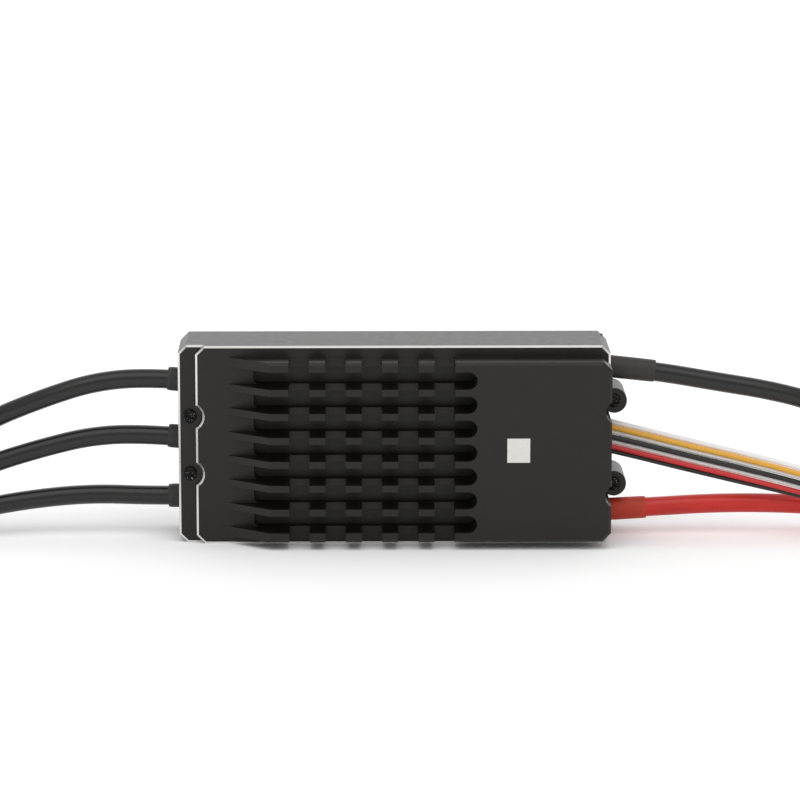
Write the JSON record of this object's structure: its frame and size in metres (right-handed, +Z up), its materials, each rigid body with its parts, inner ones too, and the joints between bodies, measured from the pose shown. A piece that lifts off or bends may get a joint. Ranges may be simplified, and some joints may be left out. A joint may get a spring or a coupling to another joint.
{
  "type": "electronic speed controller",
  "caption": "Brushless motor speed controller in a finned metal case, with motor leads at one end and battery leads and signal wires at the other",
  "frame": {"origin": "bottom centre of the box around the body, without the leads and what is on them", "axes": "+X along the case from the motor leads to the battery leads, +Y from the fins to the back plate, +Z up with the case standing on its long side"},
  "size_m": [0.4176, 0.0399, 0.057],
  "materials": {
    "case_black": "black anodised, satin",
    "seal_rubber": "matte",
    "screw_black": "black oxide",
    "screw_steel": "satin",
    "board_green": "solder mask",
    "chip_black": "moulded",
    "pad_grey": "soft",
    "capacitor_sleeve": "shrunk sleeve",
    "spacer_brass": "turned",
    "shunt_metal": "satin",
    "copper": "bright copper",
    "socket_white": "moulded",
    "plug_black": "moulded",
    "contact_gold": "gold plated",
    "lead_black": "silicone, satin",
    "lead_red": "silicone, satin",
    "sleeve_black": "heat-shrink, matte",
    "sleeve_red": "heat-shrink, matte",
    "wire_white": "insulation, satin",
    "wire_yellow": "insulation, satin",
    "wire_red": "insulation, satin",
    "wire_black": "insulation, satin"
  },
  "bodies": {
    "root": {"back_plate": "case_black", "battery_lead_negative": "lead_black", "battery_lead_positive": "lead_red", "battery_plug_negative": "contact_gold", "battery_plug_positive": "contact_gold", "battery_plug_sleeve_negative": "sleeve_black", "battery_plug_sleeve_positive": "sleeve_red", "battery_sleeve_negative": "sleeve_black", "battery_sleeve_positive": "sleeve_red", "board_header": "plug_black", "board_screws": "screw_steel", "board_spacers": "spacer_brass", "bus_capacitors": "capacitor_sleeve", "case_seal": "seal_rubber", "control_board": "board_green", "control_contacts": "contact_gold", "control_plug": "plug_black", "data_contacts": "contact_gold", "data_plug": "plug_black", "front_case": "case_black", "gate_drivers": "chip_black", "lug_screws": "screw_black", "microcontroller": "chip_black", "mosfets": "chip_black", "motor_lead_a": "lead_black", "motor_lead_b": "lead_black", "motor_lead_c": "lead_black", "motor_plug_a": "contact_gold", "motor_plug_b": "contact_gold", "motor_plug_c": "contact_gold", "motor_plug_sleeve_a": "sleeve_black", "motor_plug_sleeve_b": "sleeve_black", "motor_plug_sleeve_c": "sleeve_black", "motor_sleeve_a": "sleeve_black", "motor_sleeve_b": "sleeve_black", "motor_sleeve_c": "sleeve_black", "negative_bus_bar": "copper", "phase_bar_a": "copper", "phase_bar_b": "copper", "phase_bar_c": "copper", "positive_bus_bar": "copper", "power_board": "board_green", "shunt_resistors": "shunt_metal", "signal_grommet": "seal_rubber", "signal_socket": "socket_white", "signal_wire_1": "wire_white", "signal_wire_2": "wire_yellow", "signal_wire_3": "wire_white", "signal_wire_4": "wire_black", "signal_wire_5": "wire_white", "signal_wire_6": "wire_red", "signal_wire_7": "wire_black", "step_screws": "screw_black", "thermal_pad": "pad_grey"}
  },
  "joints": []
}
